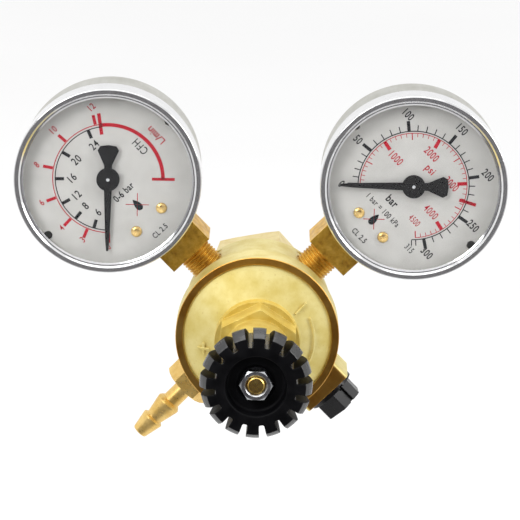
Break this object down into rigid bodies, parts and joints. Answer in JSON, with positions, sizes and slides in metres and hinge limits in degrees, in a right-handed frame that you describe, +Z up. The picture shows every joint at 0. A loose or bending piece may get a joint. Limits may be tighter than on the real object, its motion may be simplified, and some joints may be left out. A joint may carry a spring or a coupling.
{
  "type": "gas regulator",
  "caption": "Brass pressure regulator for argon or CO2 with an adjusting knob, a cylinder nut, a barbed hose outlet, a relief valve and round dial gauges.",
  "frame": {"origin": "centre of the inlet nut's mouth, on the axis of the body", "axes": "+Z up between the gauges, +X to the right as the dials are read, +Y towards the gas cylinder, so the knob and the dials face -Y"},
  "size_m": [0.134, 0.1058, 0.1029],
  "materials": {
    "cast_brass": "forged and sand-blasted, machined edges",
    "turned_brass": "turned",
    "plated_steel": "zinc plated",
    "rubber": "moulded",
    "black_plastic": "moulded, satin",
    "white_plastic": "machined",
    "sintered_bronze": "sintered",
    "copper": "soft copper washer",
    "chrome": "polished",
    "window": "clear, polished",
    "dial_white": "printed matte white",
    "pointer_black": "satin black",
    "movement_brass": "stamped and cut"
  },
  "bodies": {
    "root": {"body": "cast_brass", "bonnet": "cast_brass", "slip_ring": "plated_steel", "diaphragm": "rubber", "range_spring": "plated_steel", "valve_seat": "turned_brass", "poppet_spring": "plated_steel", "inlet_nipple": "turned_brass", "inlet_filter": "sintered_bronze", "inlet_seal": "white_plastic", "hose_barb": "turned_brass", "hose_barb_seal": "copper", "relief_cap": "black_plastic", "relief_spring": "plated_steel", "left_case": "chrome", "left_bezel": "chrome", "left_window": "window", "left_dial": "dial_white", "left_dial_screws": "movement_brass", "left_movement_plates": "movement_brass", "left_hairspring": "plated_steel", "left_bourdon_tube": "movement_brass", "left_socket": "turned_brass", "left_stem_washer": "copper", "left_case_screws": "plated_steel", "right_case": "chrome", "right_bezel": "chrome", "right_window": "window", "right_dial": "dial_white", "right_dial_screws": "movement_brass", "right_movement_plates": "movement_brass", "right_hairspring": "plated_steel", "right_bourdon_tube": "movement_brass", "right_socket": "turned_brass", "right_stem_washer": "copper", "right_case_screws": "plated_steel"},
    "screw_thrust": {"spring_button": "turned_brass"},
    "knob": {"adjusting_knob": "black_plastic", "adjusting_screw": "turned_brass", "knob_washer": "plated_steel", "knob_nut": "plated_steel"},
    "valve": {"diaphragm_plate": "turned_brass", "push_pin": "plated_steel", "poppet": "turned_brass", "poppet_pad": "white_plastic"},
    "inlet_nut": {"inlet_nut": "cast_brass"},
    "relief": {"relief_poppet": "turned_brass", "relief_seal": "rubber"},
    "left_sector": {"left_sector_gear": "movement_brass"},
    "left_pointer": {"left_pointer": "pointer_black", "left_pinion": "movement_brass"},
    "left_link": {"left_link": "movement_brass"},
    "right_sector": {"right_sector_gear": "movement_brass"},
    "right_pointer": {"right_pointer": "pointer_black", "right_pinion": "movement_brass"},
    "right_link": {"right_link": "movement_brass"}
  },
  "joints": [
    {"name": "screw_feed", "type": "slide", "parent": "root", "child": "screw_thrust", "axis": [0, 1, 0], "range_m": [0, 0.005], "deforming": ["range_spring"]},
    {"name": "knob_turn", "type": "hinge", "parent": "screw_thrust", "child": "knob", "pos_m": [0, -0.0353, 0], "axis": [0, 1, 0], "range_deg": [0, 1440]},
    {"name": "valve_lift", "type": "slide", "parent": "root", "child": "valve", "axis": [0, 1, 0], "range_m": [0, 0.0008], "deforming": ["diaphragm", "poppet_spring"]},
    {"name": "nut_spin", "type": "hinge", "parent": "root", "child": "inlet_nut", "pos_m": [0, 0, 0], "axis": [0, 1, 0], "continuous": true},
    {"name": "relief_lift", "type": "slide", "parent": "root", "child": "relief", "axis": [0.7071, 0, -0.7071], "range_m": [0, 0.0012], "stiffness_N_per_m": 2500, "springref_m": -0.002, "deforming": ["relief_spring"]},
    {"name": "left_sector_turn", "type": "hinge", "parent": "root", "child": "left_sector", "pos_m": [-0.03535, -0.0353, 0.03535], "axis": [0, -1, 0], "range_deg": [0, 45], "stiffness_Nm_per_rad": 0.001, "springref_deg": -17.19, "deforming": ["left_bourdon_tube", "left_hairspring"]},
    {"name": "left_pointer_turn", "type": "hinge", "parent": "root", "child": "left_pointer", "pos_m": [-0.04154, -0.0353, 0.04154], "axis": [0, 1, 0], "range_deg": [0, 270]},
    {"name": "left_link_turn", "type": "hinge", "parent": "left_sector", "child": "left_link", "pos_m": [-0.03278, -0.0353, 0.03229], "axis": [0, -1, 0], "range_deg": [-45, 0]},
    {"name": "right_sector_turn", "type": "hinge", "parent": "root", "child": "right_sector", "pos_m": [0.03535, -0.0353, 0.03535], "axis": [0, -1, 0], "range_deg": [0, 45], "stiffness_Nm_per_rad": 0.001, "springref_deg": -17.19, "deforming": ["right_bourdon_tube", "right_hairspring"]},
    {"name": "right_pointer_turn", "type": "hinge", "parent": "root", "child": "right_pointer", "pos_m": [0.04154, -0.0353, 0.04154], "axis": [0, 1, 0], "range_deg": [0, 270]},
    {"name": "right_link_turn", "type": "hinge", "parent": "right_sector", "child": "right_link", "pos_m": [0.03229, -0.0353, 0.03278], "axis": [0, -1, 0], "range_deg": [-45, 0]}
  ],
  "couplings": [
    {"joint": "knob_turn", "follows": "screw_feed", "rad_per_m": 5026.5},
    {"joint": "valve_lift", "follows": "screw_feed", "ratio": 0.16},
    {"joint": "left_pointer_turn", "follows": "left_sector_turn", "ratio": 6},
    {"joint": "left_link_turn", "follows": "left_sector_turn", "ratio": -1},
    {"joint": "right_pointer_turn", "follows": "right_sector_turn", "ratio": 6},
    {"joint": "right_link_turn", "follows": "right_sector_turn", "ratio": -1}
  ]
}
